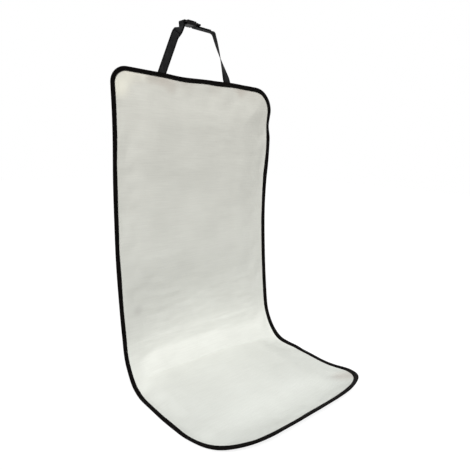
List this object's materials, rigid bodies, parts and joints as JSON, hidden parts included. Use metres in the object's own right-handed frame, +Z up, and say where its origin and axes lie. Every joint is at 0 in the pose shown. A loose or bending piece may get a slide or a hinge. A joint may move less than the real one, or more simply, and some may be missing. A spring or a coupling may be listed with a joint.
{
  "type": "dog car seat cover",
  "caption": "Bound cloth cover for one car seat, bent from seat to back, with a buckled headrest strap for keeping a dog off the upholstery.",
  "frame": {"origin": "underside of the cloth, in the middle of its flat seat stretch", "axes": "+Z up, -Y towards the front edge of the seat end, +X to the right of someone who faces the cover"},
  "size_m": [0.5, 0.4451, 0.8813],
  "materials": {
    "coated_cloth": "matte, fine woven grain",
    "binding_tape": "matte, ribbed",
    "webbing": "woven, slight sheen",
    "buckle_plastic": "moulded, satin"
  },
  "bodies": {
    "root": {"cover_panel": "coated_cloth", "edge_binding": "binding_tape", "strap_left": "webbing", "strap_right": "webbing", "buckle_socket": "buckle_plastic", "buckle_prong": "buckle_plastic"}
  },
  "joints": []
}
